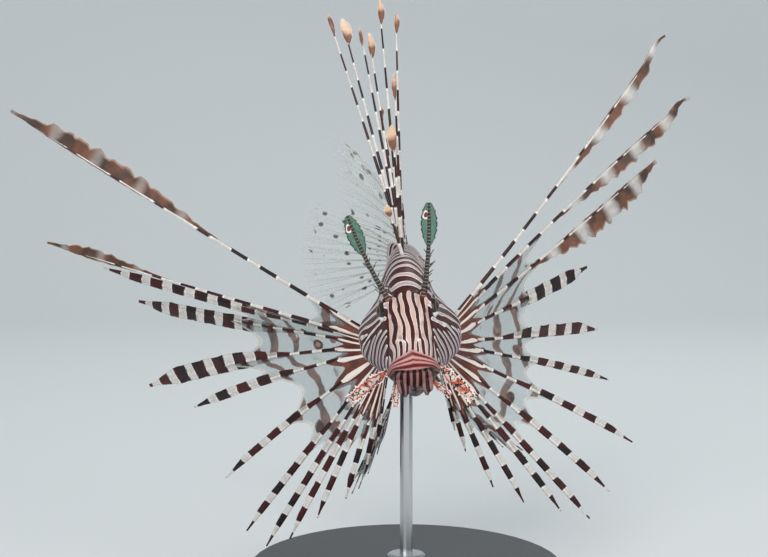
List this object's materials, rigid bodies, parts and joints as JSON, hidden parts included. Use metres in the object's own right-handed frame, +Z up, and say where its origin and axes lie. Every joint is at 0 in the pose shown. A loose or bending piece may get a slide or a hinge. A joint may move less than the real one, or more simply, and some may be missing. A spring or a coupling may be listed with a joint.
{
  "type": "red lionfish on a display stand",
  "caption": "Life-size still model of a swimming red lionfish with spread fins and raised back spines, held on a rod over a flat base.",
  "frame": {"origin": "middle of the underside of the stand's base", "axes": "+Z up, -Y is the way the fish faces, +X towards the fish's left"},
  "size_m": [0.33, 0.2134, 0.2737],
  "materials": {
    "skin": "moist skin with narrow dark red and cream stripes",
    "eye": "clear wet eye, dark red-brown iris and black pupil",
    "tentacle": "translucent dark green leaf on a dark banded stalk",
    "flap": "thin mottled pink and white skin flap",
    "fin_banded": "banded dark maroon and pale rays with thin translucent web",
    "fin_clear": "clear web with rows of dark spots on the rays",
    "stand_base": "satin dark plastic",
    "stand_rod": "fine brushed steel"
  },
  "bodies": {
    "root": {"head": "skin", "jaw_lower": "skin", "trunk": "skin", "tail_stem": "skin", "eye_left": "eye", "eye_right": "eye", "tentacle_left": "tentacle", "tentacle_right": "tentacle", "flap_lip_left": "flap", "flap_lip_right": "flap", "flap_chin_left": "flap", "flap_chin_right": "flap", "pectoral_fin_left": "fin_banded", "pectoral_fin_right": "fin_banded", "pelvic_fin_left": "fin_banded", "pelvic_fin_right": "fin_banded", "dorsal_fin_spiny": "fin_banded", "dorsal_fin_soft": "fin_clear", "anal_fin": "fin_clear", "caudal_fin": "fin_clear", "stand_base": "stand_base", "stand_rod": "stand_rod"}
  },
  "joints": []
}
